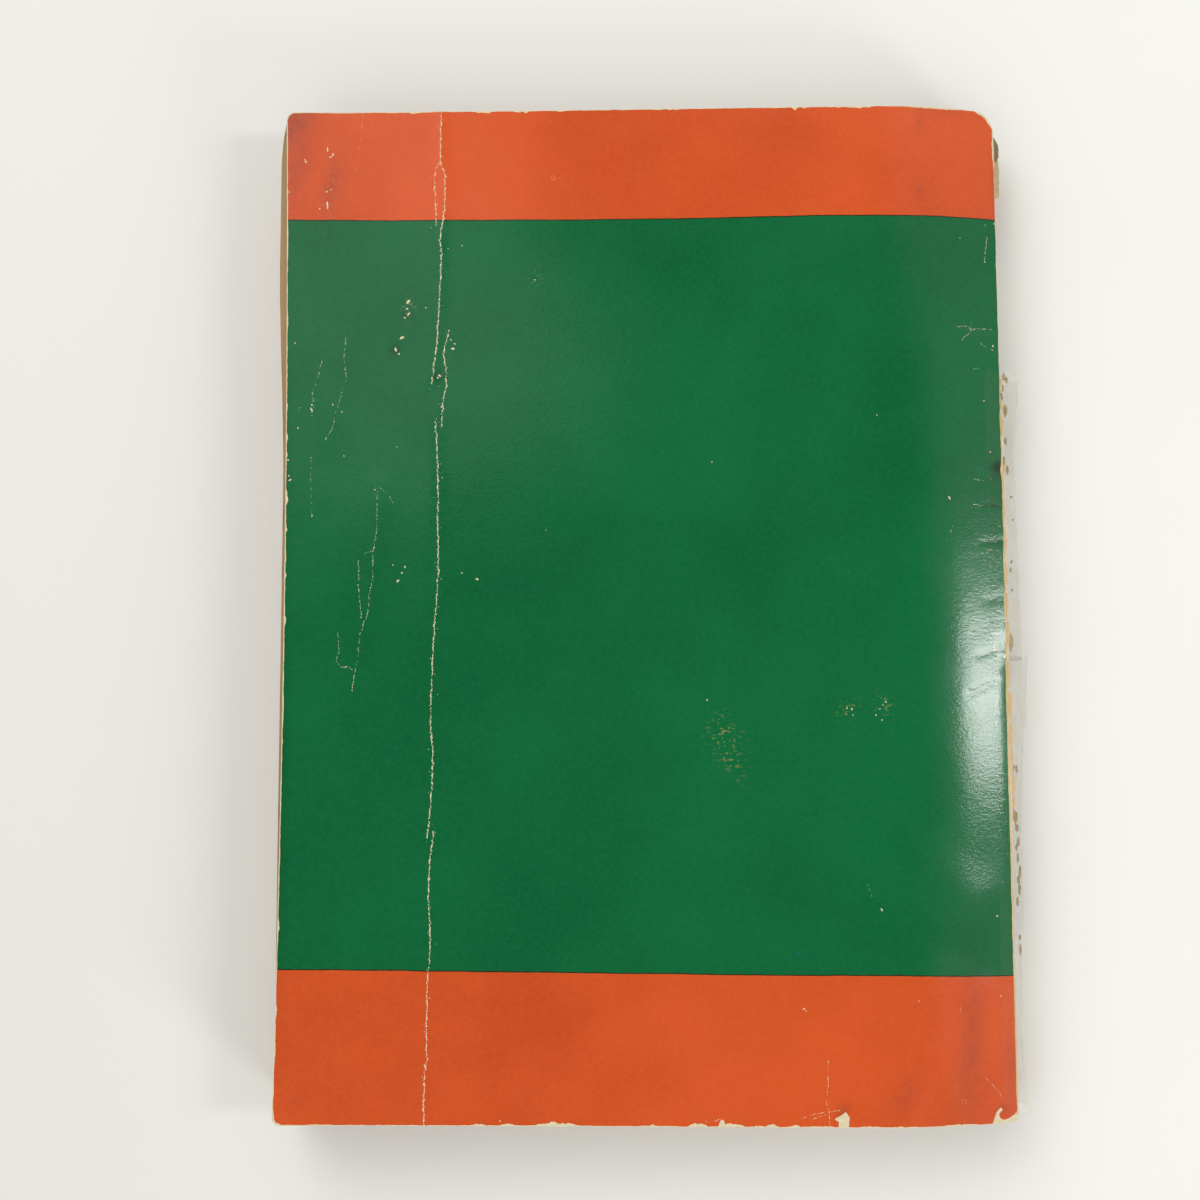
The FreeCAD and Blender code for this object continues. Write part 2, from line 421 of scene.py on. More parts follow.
chips = [
    (482, 112, 10, 2), (488, 112, 3, 3), (521, 111, 8, 2.2), (526, 111, 2.5, 3.5), (561, 110.5, 5, 1.5),
    (668, 109, 16, 1.5), (795, 107, 2.2, 4), (804, 107, 1.5, 4), (835, 106.5, 10, 1.2),
    (859, 106, 14, 2.2), (935, 107.5, 30, 1.8), (415, 112, 7, 2), (478, 1127, 8, 2.5),
    (508, 1127, 8, 2.5), (557, 1128, 22, 4), (652, 1128, 3, 2.5), (698, 1128, 9, 4.5), (722, 1128, 3, 8),
    (733, 1128, 11, 4), (758, 1128, 8, 1.5), (772, 1128, 6, 3.5), (794, 1128, 6, 3), (818, 1128, 18, 1.5),
    (870, 1128, 12, 1.5), (905, 1127, 14, 1.6), (960, 1126, 20, 1.8), (286, 407, 4, 2),
    (285.5, 437, 4, 2.5), (286, 455, 3, 2), (284.5, 498, 8, 2.6), (284, 528, 5, 2.5), (283, 575, 4, 2.0),
    (282.5, 620, 6, 2), (280, 700, 8, 1.5), (277, 925, 8, 2), (274.5, 1010, 7, 2), (273.5, 1050, 8, 2),
    (273, 1118, 10, 2), (272, 1128, 10, 3.2), (287, 245, 3, 2), (286, 320, 9, 1.6), (1002, 420, 10, 0.9),
    (1003, 470, 8, 1.5), (1006, 560, 16, 1.2), (1007, 610, 20, 1.5), (1009, 690, 18, 1.4),
    (1011, 770, 20, 1.2), (1014, 850, 16, 1.2), (1018, 1030, 24, 1.2), (1019, 1090, 20, 2.0),
    (994, 150, 22, 1.6), (984, 119, 13, 3),
]
bare_patches = [
    [(835.5, 1118.6), (839.8, 1116.5), (845.9, 1112.1), (849.6, 1117.5), (848.5, 1131), (838.3, 1131),
     (838.7, 1121.9), (835.5, 1119.7)],
    [(993, 1123), (994.5, 1118.5), (996.5, 1112.5), (999.5, 1109), (1001.5, 1107.5), (1002.5, 1110),
     (999, 1114), (1000, 1118), (1004, 1120), (1009.5, 1118), (1014.5, 1114.5), (1018, 1110),
     (1030, 1110), (1030, 1135), (993, 1135)],
]
yellow_rings = [(553, 178, 2.4), (964, 1102, 2.6)]
blue_ring = (800, 952, 2.6)

# Soft stains, painted shade and rubbed patches of the back cover: place, half length, half width, lean,
# strength

stains_and_shade = [
    ((291, 126), 30, 18, 60, 0.85), ((297, 160), 50, 14, 80, 0.50), ((333, 185), 26, 9, 80, 0.50),
    ((300, 1100), 16, 9, 40, 0.25),
    # The next six are painted shade, not stains: a dark dent at the spine edge under the upper tape, two
    # dark grooves beside it, a dark line along a crease below them, and a darker band along the spine near
    # the tail
    ((998, 467), 7, 6, 0, 1.6), ((999, 477), 5, 9, 90, 0.5), ((993, 505), 9, 1.6, 0, 0.9),
    ((995, 541), 10, 1.8, 0, 0.9), ((985, 686), 12, 1.6, 25, 0.6), ((972, 1040), 70, 12, 85, 0.45),
    ((905, 1098), 26, 12, 60, 0.30), ((935, 112), 26, 5, 0, 0.30), ((920, 118), 5, 14, 0, 0.35),
    ((283, 800), 300, 4, 90, 0.30), ((995, 175), 50, 5, 90, 0.30), ((985, 730), 3, 9, 0, 0.5),
    ((842, 1112), 9, 4, 30, 0.7), ((1010, 1060), 40, 6, 90, 0.25), ((405, 314), 5, 3, 0, 0.8),
    ((397, 350), 5, 4, 0, 0.8), ((438, 377), 5, 4, 0, 0.8), ((1004, 1108), 6, 5, 0, 0.5),
    ((922, 192), 5, 3, 60, 0.7),
]
scuffs = [
    ((725, 734), 14, 9, -20, 1.0), ((727, 752), 20, 8, -60, 1.0), ((720, 716), 8, 6, 0, 0.5),
    ((848, 709), 10, 5, 30, 0.9), ((884, 704), 6, 9, 20, 0.8), ((329, 190), 30, 9, 85, 0.5),
    ((736, 770), 12, 4, -70, 0.6), ((535, 280), 12, 8, 80, 0.3), ((408, 310), 10, 5, 80, 0.7),
]

# Soft folds of the back cover: from, to, half width and height in millimetres

folds = [
    ((868, 1055), (905, 1125), 2.6, 0.16), ((905, 1030), (935, 1125), 3.0, -0.14),
    ((845, 880), (985, 962), 4.2, -0.24), ((870, 850), (975, 900), 5.0, 0.20),
    ((870, 950), (955, 1000), 4.5, 0.14), ((820, 800), (900, 860), 5.0, 0.08),
    ((960, 990), (975, 1100), 2.6, -0.12), ((760, 700), (850, 790), 7.0, 0.06),
    ((984, 505), (1003, 507), 0.5, -0.03), ((982, 543), (1004, 541), 0.5, -0.04),
    ((992, 466), (1005, 467), 1.1, -0.03), ((978, 655), (1007, 648), 0.6, -0.035),
    ((970, 694), (998, 680), 0.6, -0.035), ((985, 600), (1004, 598), 0.8, -0.02),
    ((345, 340), (325, 445), 1.6, 0.06), ((380, 485), (350, 700), 1.8, 0.07),
    ((300, 540), (345, 640), 5.0, -0.05), ((300, 150), (330, 215), 3.0, 0.06),
    ((955, 325), (1000, 331), 0.9, 0.09), ((300, 360), (330, 410), 4.0, 0.06),
]
fold_lines = [(np.array(on_cover(*a)), np.array(on_cover(*b)), width, rise) for a, b, width, rise in folds]
crease_line = np.array(sorted((y, x) for part in (0, 3, 4) for x, y in on_cover_all(main_creases[part])))
crease_ridge, ridge_width = 0.06, 0.8
crease_swell, swell_to_spine, swell_to_fore = 0.22, 12.0, 7.0
curl_from, curl_to = -8.0, 21.0  # the stretch of the spine edge that curls up under the upper tape
curl_from_ease, curl_to_ease = 3.0, 4.0
curl_rise, curl_beads = 0.11, 0.012
flange_from, flange_ease = -9.0, 3.0  # and the one that is pressed down under the lower tape
flange_drop = 0.12
edge_width = 3.0
relief_waves = [(0.08, 40, 48, 1), (0.03, 15, 18, 2), (0.008, 5, 5, 3)]  # height, size in x and y, seed
relief_low, relief_high = -0.24, 0.6


def relief(x, y):
    """How far the worn back cover stands above its plain form."""
    across = x - np.interp(y, crease_line[:, 0], crease_line[:, 1])
    height = crease_ridge * np.exp(-((across / ridge_width) ** 2))
    height += crease_swell * np.exp(-np.abs(across) / np.where(across > 0, swell_to_spine, swell_to_fore))
    for a, b, width, rise in fold_lines:
        along = b - a
        share = np.clip(((x - a[0]) * along[0] + (y - a[1]) * along[1]) / (along @ along), 0, 1)
        away = np.hypot(x - a[0] - share * along[0], y - a[1] - share * along[1])
        height += rise * np.exp(-((away / width) ** 2))
    edge = np.clip((x - spine_x + edge_width) / edge_width, 0, 1)
    curl = np.clip((y - curl_from) / curl_from_ease, 0, 1) * np.clip((curl_to - y) / curl_to_ease, 0, 1)
    beaded = np.array([curl_beads * waver(a * 0.8, b * 1.4, 6) for a, b in zip(x, y)])
    flange = np.clip((flange_from - y) / flange_ease, 0, 1)
    height += curl * (curl_rise + beaded) * edge - flange * flange_drop * edge**2
    for rise, wide, high, seed in relief_waves:
        height += np.array([rise * waver(a / wide, b / high, seed) for a, b in zip(x, y)])
    return np.clip(height, relief_low, relief_high)


def softness(x, y, spots):
    """Strength of a list of soft elliptical spots at each point, from 0 to 1."""
    total = np.zeros(len(x))
    for place, half_length, half_width, lean, strength in spots:
        cx, cy = on_cover(*place)
        turn = math.radians(lean)
        along = (x - cx) * math.cos(turn) + (y - cy) * math.sin(turn)
        across = -(x - cx) * math.sin(turn) + (y - cy) * math.cos(turn)
        reach = (along / (half_length * pixel_mm)) ** 2 + (across / (half_width * pixel_mm)) ** 2
        total = np.maximum(total, strength * np.exp(-reach))
    return np.minimum(total, 1.0)


# Ragged loops


def flake(centre, radius, seed, stretch=1.0, lean=None):
    """A small ragged patch, longer along lean."""
    chance = random.Random(seed)
    count = 6
    turn = chance.uniform(0, math.pi) if lean is None else lean
    points = []
    for i in range(count):
        angle = 2 * math.pi * (i + chance.uniform(-0.25, 0.25)) / count
        reach = radius * chance.uniform(0.6, 1.1)
        dx, dy = reach * math.cos(angle) * stretch, reach * math.sin(angle)
        x = centre[0] + dx * math.cos(turn) - dy * math.sin(turn)
        y = centre[1] + dx * math.sin(turn) + dy * math.cos(turn)
        points.append((x, y))
    return points


def beads(path, half_width, seed, cover):
    """Flakes along a crease, where the print has cracked off. cover is the share that is bare."""
    chance = random.Random(seed)
    dense = path_points(path, 0.24)
    loops = []
    for index, (a, b) in enumerate(zip(dense, dense[1:])):
        patchy = cover + 0.45 * waver(index * 0.11, 2.0, seed) + 0.25 * waver(index * 0.5, 6.0, seed)
        if chance.random() > patchy:
            continue
        lean = math.atan2(b[1] - a[1], b[0] - a[0]) + chance.gauss(0, 0.32)
        side = chance.gauss(0, 0.6 * half_width) + 0.12 * waver(index * 0.17, 4.0, seed)
        x = (a[0] + b[0]) / 2 - math.sin(lean) * side
        y = (a[1] + b[1]) / 2 + math.cos(lean) * side
        radius = half_width * chance.uniform(0.5, 1.15) * (1 + 0.4 * waver(index * 0.31, 8.0, seed))
        loops.append(flake((x, y), radius, chance.random(), chance.uniform(1.1, 2.3), lean))
    return loops


def ring_of_beads(u, v, radius, seed):
    """Small flakes round a ring, as a bubble or a drop leaves it."""
    x, y = on_cover(u, v)
    reach = radius * pixel_mm
    turns = [math.radians(40 * i) for i in range(10)]
    path = [(x + reach * math.cos(t), y + reach * math.sin(t)) for t in turns]
    return beads(path, 0.08, seed, 1.2)


def roughened(loop, step, amount, seed):
    """A loop with its straight runs divided and moved a little."""
    return [
        (x + amount * waver(x * 1.9, y * 1.9, seed), y + amount * waver(x * 1.9, y * 1.9, seed + 1))
        for x, y in path_points(loop + loop[:1], step)[:-1]
    ]


# For each kind of crease: half width of its flakes, first seed and bare share, once or twice over

crease_flakes = [
    (main_creases, [(0.12, 10, 0.95), (0.07, 20, 0.36)]),
    (fine_creases, [(0.075, 40, 0.70)]),
    (faint_creases, [(0.055, 70, 0.42)]),
]


def bare_loops():
    """Bare patches in the print of the back cover, as loops in plan."""
    loops = []
    for creases, passes in crease_flakes:
        for number, path in enumerate(creases):
            for half_width, seed, cover in passes:
                loops += beads(on_cover_all(path), half_width, seed + number, cover)
    for number, (u, v, size) in enumerate(specks):
        loops.append(flake(on_cover(u, v), 0.34 * size * pixel_mm, 100 + number, 1.7))
    for number, (start, end, size) in enumerate(dashes):
        a, b = on_cover(*start), on_cover(*end)
        middle = ((a[0] + b[0]) / 2, (a[1] + b[1]) / 2)
        stretch = max(1.0, math.dist(a, b) / (size * pixel_mm))
        lean = math.atan2(b[1] - a[1], b[0] - a[0])
        loops.append(flake(middle, 0.5 * size * pixel_mm, 200 + number, stretch, lean))
    chance = random.Random(5)
    for path in main_creases:
        for x, y in path_points(on_cover_all(path), 2.4):
            place = (x + chance.gauss(0, 0.45), y + chance.uniform(-1, 1))
            loops.append(flake(place, chance.uniform(0.04, 0.09), chance.random(), 1.5))
    for patch in bare_patches:
        loops.append(roughened(on_cover_all(patch), 0.35, 0.07, 77))
    return loops


# How far the print's edge lies inside the card's, along the fore edge, head and tail, and spine

fore_inset, end_inset, spine_inset = 0.15, 0.12, 0.06
spine_inset_gain, gain_from, gain_length = 0.22, 4.0, 20.0  # the spine's grows towards the tail


def print_edge(loop, with_chips, seed):
    """How far the print's edge lies inside the card's, at each point of the outline."""
    loop = np.asarray(loop)
    x, y = loop[:, 0], loop[:, 1]
    at_spine = spine_inset + spine_inset_gain * np.clip((gain_from - y) / gain_length, 0, 1)
    inset = np.where(x < fore_x + 3, fore_inset, np.where(x > spine_x - 3, at_spine, end_inset))
    inset = inset + np.array([0.06 * waver(a * 1.3, b * 1.3, seed) for a, b in loop])
    inset += np.array([0.12 * max(0, waver(a * 0.31, b * 0.31, seed + 1)) for a, b in loop])
    if with_chips:
        for number, (u, v, half, depth) in enumerate(chips):
            cx, cy = on_cover(u, v)
            near = np.hypot(x - cx, y - cy) / (half * pixel_mm)
            bite = depth * pixel_mm * np.sqrt(np.clip(1 - near**2, 0, 1))
            rag = np.array([0.75 + 0.6 * waver(a * 1.9, b * 1.9, 200 + number) for a, b in loop])
            inset = np.maximum(inset, bite * rag + 0.05)
    return np.clip(inset, 0.03, 3.0)


def field_loop(lower, upper, seed, inset=0.0):
    """The loop of the green field between two uneven lines across the cover."""
    loop = []
    for path, side in ((lower, 1), (upper[::-1], -1)):
        for x, y in path_points(path, 0.45):
            uneven = 0.035 * waver(x * 1.1, side, seed) + 0.07 * waver(x * 0.13, side, seed + 1)
            inner = inset * (1 + 0.5 * waver(x * 0.5, side, seed + 2))
            loop.append((x, y + uneven + side * inner))
    return loop


ORANGE, GREEN, OVERLAP, BARE, INSIDE, YELLOW, BLUE = range(7)


def card(name, outline, print_loop, green_loops, marks, seams, line, relief_of, fine_from):
    """A printed card along line, which gives the height at a depth.

    marks is a list of a kind of face and the loops that have it. seams are loops whose lines are
    only edges of the mesh."""
    loops = [print_loop] + green_loops + seams + [loop for _, group in marks for loop in group]
    flat, faces = triangles(outline, loops, 1.25, 3, fine_from)
    centres = flat[faces].mean(axis=1)
    kinds = np.full(len(faces), BARE)
    printed = inside(centres, print_loop)
    kinds[printed] = ORANGE
    kinds[printed & inside(centres, green_loops[0])] = OVERLAP
    kinds[printed & inside(centres, green_loops[1])] = GREEN
    for kind, group in marks:
        for loop in group:
            kinds[inside(centres, loop) & printed] = kind
    ring = ordered_border(faces)
    inner_flat, inner_faces = triangles([tuple(flat[i]) for i in ring], [], 2.0, 4)
    matching = {tuple(np.round(p, 5)): i for i, p in enumerate(inner_flat)}
    inner_ring = [matching[tuple(np.round(flat[i], 5))] for i in ring]
    outer_z = line(flat[:, 0], 0.0) + relief_of(flat[:, 0], flat[:, 1])
    inner_z = line(inner_flat[:, 0], card_thick) + relief_of(inner_flat[:, 0], inner_flat[:, 1])
    outer_z = np.clip(outer_z, 0.0, cad_high.z / MM - 0.02)
    points = [(x, y, z) for (x, y), z in zip(flat, outer_z)]
    shift = len(points)
    points += [(x, y, z) for (x, y), z in zip(inner_flat, inner_z)]
    upward = outer_z.mean() > inner_z.mean()
    all_faces = [tuple(map(int, f if upward else f[::-1])) for f in faces]
    all_faces += [tuple(int(i) + shift for i in (f[::-1] if upward else f)) for f in inner_faces]
    all_kinds = list(kinds) + [INSIDE] * len(inner_faces)
    for a, b in zip(range(len(ring)), list(range(1, len(ring))) + [0]):
        quad = (ring[a], inner_ring[a] + shift, inner_ring[b] + shift, ring[b])
        all_faces.append(quad if upward else quad[::-1])
        all_kinds.append(BARE)
    return new_piece(name, points, all_faces, all_kinds, card_materials, smooth_angle=35)


# Materials


def material(name, color, roughness=0.5, **sockets):
    """A material, its nodes and its Principled shader."""
    made = bpy.data.materials.new(name)
    made.use_nodes = True
    shader = made.node_tree.nodes["Principled BSDF"]
    shader.inputs["Base Color"].default_value = (*color, 1)
    shader.inputs["Roughness"].default_value = roughness
    for socket, value in sockets.items():
        shader.inputs[socket.replace("_", " ")].default_value = value
    return made, made.node_tree, shader


def node(tree, kind, inputs=None, **settings):
    made = tree.nodes.new(kind)
    for name, value in settings.items():
        setattr(made, name, value)
    for name, value in (inputs or {}).items():
        if isinstance(value, bpy.types.NodeSocket):
            tree.links.new(value, made.inputs[name])
        else:
            made.inputs[name].default_value = value
    return made


def grain(tree, size_mm, detail=3.0, stretch=(1, 1, 1), offset=0.0, rough=0.55):
    """Noise in the piece's own space, with features of about size_mm."""
    place = node(tree, "ShaderNodeTexCoord").outputs["Object"]
    scale = [1 / (MM * size_mm * s) for s in stretch]
    settings = {"Vector": place, "Scale": scale, "Location": (offset,) * 3}
    mapped = node(tree, "ShaderNodeMapping", settings)
    inputs = {"Vector": mapped.outputs["Vector"], "Scale": 1.0, "Detail": detail, "Roughness": rough}
    return node(tree, "ShaderNodeTexNoise", inputs).outputs["Fac"]


def spread(tree, value, low, high, to_low=0.0, to_high=1.0):
    """A value's range stretched onto another."""
    inputs = {"Value": value, "From Min": low, "From Max": high, "To Min": to_low, "To Max": to_high}
    return node(tree, "ShaderNodeMapRange", inputs).outputs["Result"]


def math_of(tree, operation, a, b):
    return node(tree, "ShaderNodeMath", {0: a, 1: b}, operation=operation).outputs[0]


def times(tree, a, b):
    return math_of(tree, "MULTIPLY", a, b)


def marked(tree, name):
    return node(tree, "ShaderNodeAttribute", attribute_name=name).outputs["Fac"]


def mixed(tree, share, a, b):
    """Two colours mixed by a share."""
    made = node(tree, "ShaderNodeMix", data_type="RGBA")
    for name, value in (("Factor", share), ("A", a), ("B", b)):
        socket = [s for s in made.inputs if s.name == name and s.enabled][0]
        if isinstance(value, bpy.types.NodeSocket):
            tree.links.new(value, socket)
        else:
            socket.default_value = value if name == "Factor" else (*value, 1)
    return [s for s in made.outputs if s.enabled][0]


def bump(tree, shader, layers):
    """Bump nodes in a row: each layer is a height, a strength and a depth in millimetres."""
    normal = None
    for height, strength, depth in layers:
        inputs = {"Height": height, "Strength": strength, "Distance": depth * MM}
        if normal is not None:
            inputs["Normal"] = normal
        normal = node(tree, "ShaderNodeBump", inputs).outputs["Normal"]
    tree.links.new(normal, shader.inputs["Normal"])


def paint(tree, shader, tone, layers):
    """A shader's colour and its bump."""
    tree.links.new(tone, shader.inputs["Base Color"])
    bump(tree, shader, layers)


def printed_material(name, color, pale, dark, darkening):
    """Coated printed card: mottled ink, fine grain, stains and painted shade, rubbed patches, satin gloss.
    """
    made, tree, shader = material(name, color, 0.2, Specular_IOR_Level=0.5)
    clouds = spread(tree, grain(tree, 30, 4.0), 0.35, 0.65)
    tone = mixed(tree, clouds, dark, color)
    mottle = spread(tree, grain(tree, 0.9, 4.0, rough=0.7), 0.35, 0.7, 0.0, 0.16)
    tone = mixed(tree, mottle, tone, pale)
    spots = spread(tree, grain(tree, 0.32, 2.0, offset=4.0), 0.62, 0.74, 0.0, 0.30)
    tone = mixed(tree, spots, tone, pale)
    pits = spread(tree, grain(tree, 0.45, 2.0, offset=9.0), 0.64, 0.74, 0.0, 0.35)
    tone = mixed(tree, pits, tone, dark)
    # Real stains, and painted shade in a dent, grooves, a crease and a band near the spine, take the print
    # towards its stained colour
    cloudy = spread(tree, grain(tree, 1.4, 5.0), 0.25, 0.6, 0.5, 1.0)
    tone = mixed(tree, times(tree, marked(tree, "grime_and_shade"), cloudy), tone, darkening)
    scratch = spread(tree, grain(tree, 0.55, 4.0, (1.6, 1, 1), offset=7.0), 0.56, 0.62)
    tone = mixed(tree, times(tree, marked(tree, "scuff"), scratch), tone, (0.27, 0.25, 0.09))
    rub = spread(tree, grain(tree, 9.0, 5.0, offset=2.0), 0.3, 0.7, 0.12, 0.18)
    taped = times(tree, marked(tree, "taped"), -0.02)
    tree.links.new(math_of(tree, "ADD", rub, taped), shader.inputs["Roughness"])
    layers = [
        (grain(tree, 3.2, 3.0, (1.2, 1, 1), offset=1.0), 0.30, 0.05),
        (grain(tree, 0.5, 3.0, (1.3, 1, 1), offset=6.0), 0.60, 0.026),
        (grain(tree, 0.22, 2.0, (1.2, 1, 1), offset=8.0), 0.50, 0.012),
    ]
    paint(tree, shader, tone, layers)
    return made


def paper_material(name, color, dark, golden, size_mm=1.2, depth=0.03):
    """Uncoated fibrous card or paper, golden where it is taped."""
    made, tree, shader = material(name, color, 0.85, Specular_IOR_Level=0.25)
    fibre = spread(tree, grain(tree, size_mm, 5.0), 0.3, 0.7)
    darkening = spread(tree, grain(tree, 14.0, 4.0, offset=3.0), 0.35, 0.7, 0.0, 0.5)
    tone = mixed(tree, fibre, dark, color)
    tone = mixed(tree, darkening, tone, dark)
    tone = mixed(tree, times(tree, marked(tree, "taped"), 0.75), tone, golden)
    paint(tree, shader, tone, [(grain(tree, 0.25, 4.0, offset=5.0), 0.5, depth)])
    return made


def leaf_material():
    """Edges of the leaves: tan, with each leaf a little lighter or darker."""
    made, tree, shader = material("leaf_edges", (0.40, 0.25, 0.12), 0.9, Specular_IOR_Level=0.2)
    lines = spread(tree, grain(tree, 1.0, 2.0, (14, 14, 0.11)), 0.35, 0.65)
    tone = mixed(tree, lines, (0.25, 0.145, 0.066), (0.43, 0.28, 0.145))
    patches = spread(tree, grain(tree, 12.0, 4.0, offset=8.0), 0.35, 0.7, 0.0, 0.6)
    tone = mixed(tree, patches, tone, (0.29, 0.165, 0.075))
    paint(tree, shader, tone, [(lines, 0.4, 0.03)])
    return made


def page_face_material():
    """The first and last page: blank, browned towards the edges."""
    made, tree, shader = material("page_face", (0.68, 0.56, 0.38), 0.9, Specular_IOR_Level=0.2)
    fibre = spread(tree, grain(tree, 0.8, 5.0), 0.3, 0.7)
    tone = mixed(tree, fibre, (0.60, 0.48, 0.31), (0.70, 0.59, 0.41))
    tone = mixed(tree, marked(tree, "toning"), tone, (0.38, 0.24, 0.115))
    paint(tree, shader, tone, [(grain(tree, 0.3, 4.0, offset=5.0), 0.4, 0.03)])
    return made


def tape_material():
    """Clear tape past the covers: thin, a little yellow, satin, with cloudy patches."""
    made, tree, shader = material("clear_tape", (0.86, 0.84, 0.74), 0.30, Specular_IOR_Level=0.5)
    cloud = spread(tree, grain(tree, 3.0, 4.0, (1, 2.2, 1)), 0.35, 0.7)
    spots = spread(tree, grain(tree, 0.5, 3.0, (1, 1.8, 1), offset=5.0), 0.66, 0.72)
    tone = mixed(tree, cloud, (0.84, 0.82, 0.74), (0.78, 0.73, 0.58))
    tree.links.new(mixed(tree, spots, tone, (0.35, 0.30, 0.18)), shader.inputs["Base Color"])
    tree.links.new(spread(tree, cloud, 0.0, 1.0, 0.06, 0.13), shader.inputs["Alpha"])
    bump(tree, shader, [(grain(tree, 2.4, 3.0, (1, 1.6, 1), offset=3.0), 0.4, 0.05)])
    return made


def tape_on_card_material():
    """The same tape where it clings to a cover: almost gone, but for its gloss."""
    look = {"Specular_IOR_Level": 0.8}
    made, tree, shader = material("clear_tape_on_card", (0.50, 0.47, 0.40), 0.18, **look)
    film = spread(tree, grain(tree, 0.6, 3.0, (1.5, 1, 1)), 0.38, 0.62, 0.008, 0.020)
    tree.links.new(film, shader.inputs["Alpha"])
    ridges = grain(tree, 0.5, 2.0, (5, 1, 1), offset=3.0)
    bump(tree, shader, [(ridges, 0.6, 0.05), (grain(tree, 1.1, 3.0, offset=2.0), 0.3, 0.04)])
    return made


def spine_material(green_from, green_to):
    """The strip over the spine: cream torn card, golden beside the cover, with remains of ink."""
    made, tree, shader = material("spine_card", (0.74, 0.66, 0.48), 0.7, Specular_IOR_Level=0.35)
    place = node(tree, "ShaderNodeTexCoord").outputs["Object"]
    parts = node(tree, "ShaderNodeSeparateXYZ", {"Vector": place}).outputs
    over = math_of(tree, "GREATER_THAN", parts["Y"], green_from * MM)
    under = math_of(tree, "LESS_THAN", parts["Y"], green_to * MM)
    ink = mixed(tree, times(tree, over, under), (0.55, 0.09, 0.025), (0.012, 0.13, 0.045))
    fibre = spread(tree, grain(tree, 0.5, 5.0, (1, 2.5, 1)), 0.3, 0.7)
    bare = mixed(tree, fibre, (0.62, 0.52, 0.33), (0.80, 0.75, 0.60))
    patchy = spread(tree, grain(tree, 2.6, 4.0, (1, 3.5, 1), offset=6.0), 0.40, 0.56)
    near_cover = spread(tree, parts["Z"], 6.6 * MM, 7.4 * MM)
    bare = mixed(tree, times(tree, near_cover, patchy), bare, (0.74, 0.50, 0.20))
    torn = spread(tree, grain(tree, 5.0, 6.0, (1, 2.6, 0.8), offset=2.0, rough=0.62), 0.52, 0.535)
    low_down = spread(tree, parts["Z"], 4.6 * MM, 4.0 * MM)
    tone = mixed(tree, times(tree, torn, low_down), bare, ink)
    paint(tree, shader, tone, [(torn, 0.4, 0.05), (grain(tree, 0.3, 4.0, offset=5.0), 0.5, 0.03)])
    return made


def glue_material():
    made, tree, shader = material("old_glue", (0.32, 0.20, 0.045), 0.45, Specular_IOR_Level=0.5)
    clouds = spread(tree, grain(tree, 1.0, 4.0), 0.35, 0.65)
    tone = mixed(tree, clouds, (0.19, 0.115, 0.018), (0.44, 0.28, 0.06))
    paint(tree, shader, tone, [(grain(tree, 0.5, 3.0, offset=2.0), 0.6, 0.06)])
    return made


def floor_material():
    """A white table top, with light from the right painted into it: a little brighter towards the right."""
    made, tree, shader = material("floor", (0.82, 0.81, 0.78), 0.6, Specular_IOR_Level=0.2)
    place = node(tree, "ShaderNodeTexCoord").outputs["Object"]
    parts = node(tree, "ShaderNodeSeparateXYZ", {"Vector": place}).outputs
    # Painted light: the top's colour grows lighter towards the right, as the light from that side falls
    across = spread(tree, parts["X"], -110 * MM, 110 * MM)
    cloud = spread(tree, grain(tree, 90.0, 4.0), 0.3, 0.7, 0.0, 0.4)
    tone = mixed(tree, across, (0.79, 0.78, 0.75), (0.86, 0.86, 0.825))
    tone = mixed(tree, cloud, tone, (0.80, 0.79, 0.755))
    paint(tree, shader, tone, [(grain(tree, 1.5, 3.0), 0.08, 0.02)])
    return made


# Colours of each print: plain, pale, dark, and stained, the last also the colour of painted shade in a
# dent, grooves and a band near the spine

orange_print = (0.66, 0.092, 0.020), (0.74, 0.17, 0.06), (0.56, 0.070, 0.014), (0.30, 0.060, 0.035)
green_print = (0.004, 0.134, 0.039), (0.030, 0.20, 0.090), (0.003, 0.108, 0.031), (0.004, 0.030, 0.012)
overlap_print = (0.022, 0.034, 0.012), (0.06, 0.08, 0.03), (0.015, 0.024, 0.008), (0.010, 0.012, 0.008)

card_materials = [
    printed_material("print_orange", *orange_print),
    printed_material("print_green", *green_print),
    printed_material("print_overlap", *overlap_print),
    paper_material("bare_card", (0.77, 0.71, 0.50), (0.62, 0.53, 0.33), (0.66, 0.46, 0.20), 0.6),
    paper_material("inside_card", (0.72, 0.64, 0.48), (0.60, 0.49, 0.31), (0.60, 0.49, 0.31), 2.0),
    paper_material("yellow_mark", (0.85, 0.42, 0.08), (0.75, 0.33, 0.05), (0.85, 0.42, 0.08)),
    paper_material("blue_mark", (0.02, 0.13, 0.30), (0.01, 0.10, 0.25), (0.02, 0.13, 0.30)),
]


# The tapes: where each lies along the spine and how far it bulges past the covers' spine edge,
# from tail to head

Tape = namedtuple("Tape", "name bulges lift on_card seed")

upper_bulge = ((-10.0, 4.0, 27.0, 41.2), (3.6, 3.5, 3.05, 4.6))
lower_bulge = (
    (-87.8, -79.0, -60.0, -52.0, -41.0, -30.0, -18.0, -9.4),
    (2.75, 1.85, 2.0, 2.7, 2.5, 3.05, 4.1, 4.5),
)
tapes = [
    Tape("tape_upper", upper_bulge, 0.05, 3.0, 91),
    Tape("tape_lower", lower_bulge, 0.17, 2.7, 95),
]
tape_thick = 0.06
card_share = 0.18


def tape_line(tape, y):
    """x of the tape's edge on a cover."""
    return spine_x - tape.on_card + 0.12 * waver(y * 0.09, 1.0, tape.seed)


def tape_seam(tape, inset):
    """A loop in plan along the tape's edge on a cover."""
    start, end = tape.bulges[0][0], tape.bulges[0][-1]
    points = line_points((0, start + inset), (0, end - inset), 0.8) + [(0, end - inset)]
    along = [(tape_line(tape, y) + inset, y) for _, y in points]
    return [(spine_x + 1, start + inset), (spine_x + 1, end - inset)] + along[::-1]


# The covers


def plain(x, y):
    return np.zeros(len(x))


